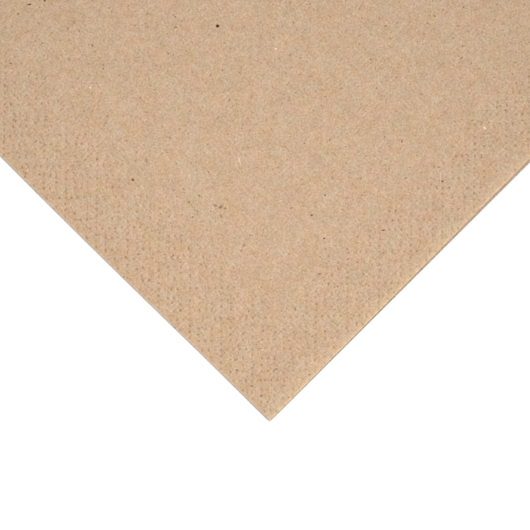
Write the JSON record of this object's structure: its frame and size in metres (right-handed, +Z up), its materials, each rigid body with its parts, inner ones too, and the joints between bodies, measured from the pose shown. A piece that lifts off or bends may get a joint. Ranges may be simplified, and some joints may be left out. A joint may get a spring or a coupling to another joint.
{
  "type": "paper napkin",
  "caption": "Square unbleached paper napkin folded in quarters, lying flat, with nested folds on adjacent sides and an open corner.",
  "frame": {"origin": "centre of the folded napkin on the surface that it lies on", "axes": "+Z up through the layers, +X towards the first fold, +Y towards the second fold, so the open corner is at -X -Y"},
  "size_m": [0.165, 0.165, 0.0015],
  "materials": {
    "kraft_tissue": "matt unbleached tissue"
  },
  "bodies": {
    "root": {"napkin": "kraft_tissue"}
  },
  "joints": []
}
